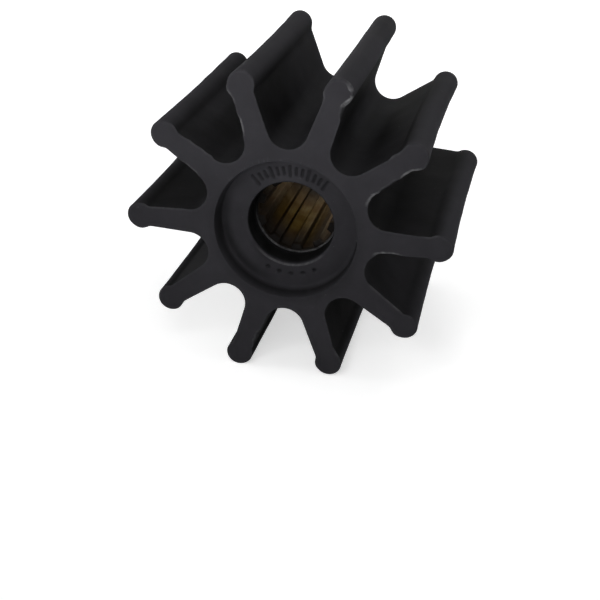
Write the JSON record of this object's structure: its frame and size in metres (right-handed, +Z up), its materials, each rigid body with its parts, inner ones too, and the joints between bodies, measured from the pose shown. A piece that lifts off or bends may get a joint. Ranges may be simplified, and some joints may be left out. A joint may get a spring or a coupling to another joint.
{
  "type": "rubber pump impeller",
  "caption": "Flexible black rubber impeller for a raw-water pump, with straight bead-tipped vanes, a dished hub face and a bonded brass insert with an internal spline.",
  "frame": {"origin": "on the bore axis, half way between the two end faces", "axes": "+Y along the bore from the front face to the back face, +Z up; the wheel stands on the tips of its two lowest vanes"},
  "size_m": [0.065, 0.0508, 0.0622],
  "materials": {
    "rubber": "matte moulded rubber",
    "brass": "broached brass, dulled"
  },
  "bodies": {
    "root": {"vane_wheel": "rubber", "spline_insert": "brass"}
  },
  "joints": []
}
